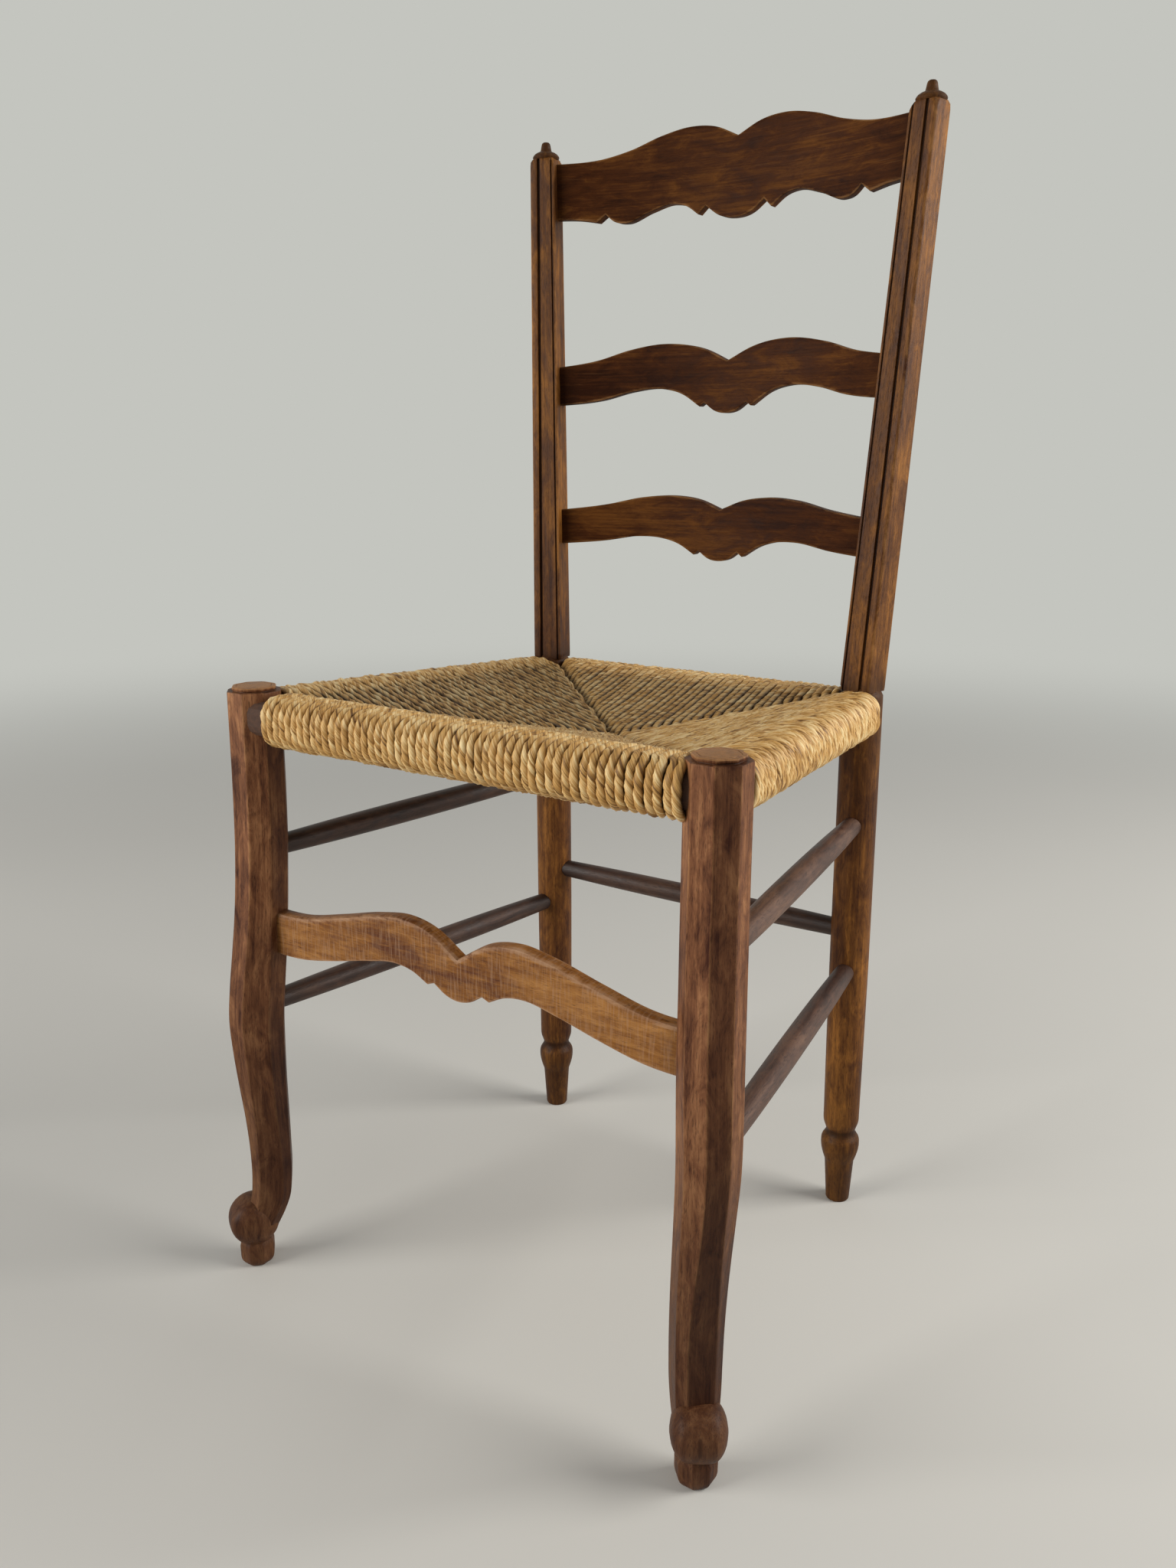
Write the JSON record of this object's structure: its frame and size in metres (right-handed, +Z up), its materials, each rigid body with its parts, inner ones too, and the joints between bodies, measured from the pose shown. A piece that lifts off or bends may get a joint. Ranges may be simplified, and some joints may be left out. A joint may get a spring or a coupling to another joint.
{
  "type": "ladderback chair",
  "caption": "Ladderback side chair with bowed shaped slats, moulded back posts, bowed octagonal front legs with barrel toes, turned and shaped stretchers and a woven rush seat.",
  "frame": {"origin": "on the floor, under the middle of the chair's bounding box", "axes": "+Z up, -Y towards the front (the side that the sitter faces), +X to the viewer's right seen from the front"},
  "size_m": [0.4472, 0.4222, 0.89],
  "materials": {
    "post_wood": "stained and varnished, satin",
    "leg_wood": "stained and varnished, satin",
    "slat_wood": "stained and varnished, satin",
    "stretcher_wood": "stained and varnished, satin",
    "rail_wood": "plain, unfinished",
    "rush": "twisted rush cord, matt with a slight sheen",
    "stuffing": "loose rush pieces, matt"
  },
  "bodies": {
    "root": {"back_post_left": "post_wood", "back_post_right": "post_wood", "back_stretcher": "stretcher_wood", "crest_slat": "slat_wood", "front_leg_left": "leg_wood", "front_leg_right": "leg_wood", "front_stretcher": "stretcher_wood", "lower_slat": "slat_wood", "middle_slat": "slat_wood", "rush_back": "rush", "rush_front": "rush", "rush_left": "rush", "rush_right": "rush", "seat_rail_back": "rail_wood", "seat_rail_front": "rail_wood", "seat_rail_left": "rail_wood", "seat_rail_right": "rail_wood", "side_stretcher_lower_left": "stretcher_wood", "side_stretcher_lower_right": "stretcher_wood", "side_stretcher_upper_left": "stretcher_wood", "side_stretcher_upper_right": "stretcher_wood", "stuffing_back": "stuffing", "stuffing_front": "stuffing", "stuffing_left": "stuffing", "stuffing_right": "stuffing"}
  },
  "joints": []
}
